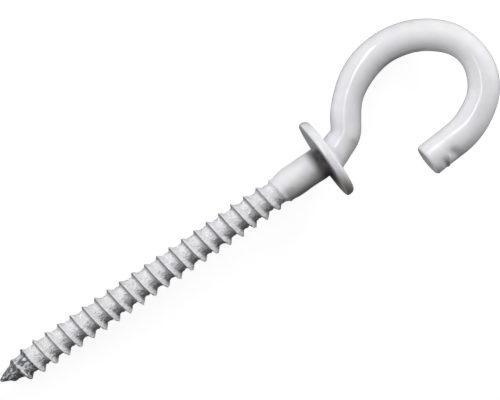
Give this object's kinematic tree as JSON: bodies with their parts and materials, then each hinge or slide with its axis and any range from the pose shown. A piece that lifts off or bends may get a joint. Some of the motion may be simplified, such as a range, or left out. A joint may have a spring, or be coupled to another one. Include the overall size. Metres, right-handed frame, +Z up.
{
  "type": "screw hook",
  "caption": "White coated steel screw hook: gimlet-pointed wood-screw thread, plain shank, round collar that seats on the surface, and an open round hook to hang things from.",
  "frame": {"origin": "centre of the collar's underside, on the screw's axis, with the hook lying as it comes to rest on a flat surface (lowest point at z = -7.3 mm)", "axes": "+X along the hook's length towards the screw's tip, which dips 4.2 degrees below level; +Z up from the surface it lies on; -Y the side where the crown of the hook touches that surface, the mouth being raised on the +Y side"},
  "size_m": [0.1016, 0.0223, 0.0171],
  "materials": {
    "coated_steel": "semi-gloss white coating over steel wire, thin and bare steel at the screw's tip"
  },
  "bodies": {
    "root": {"screw_hook": "coated_steel"}
  },
  "joints": []
}
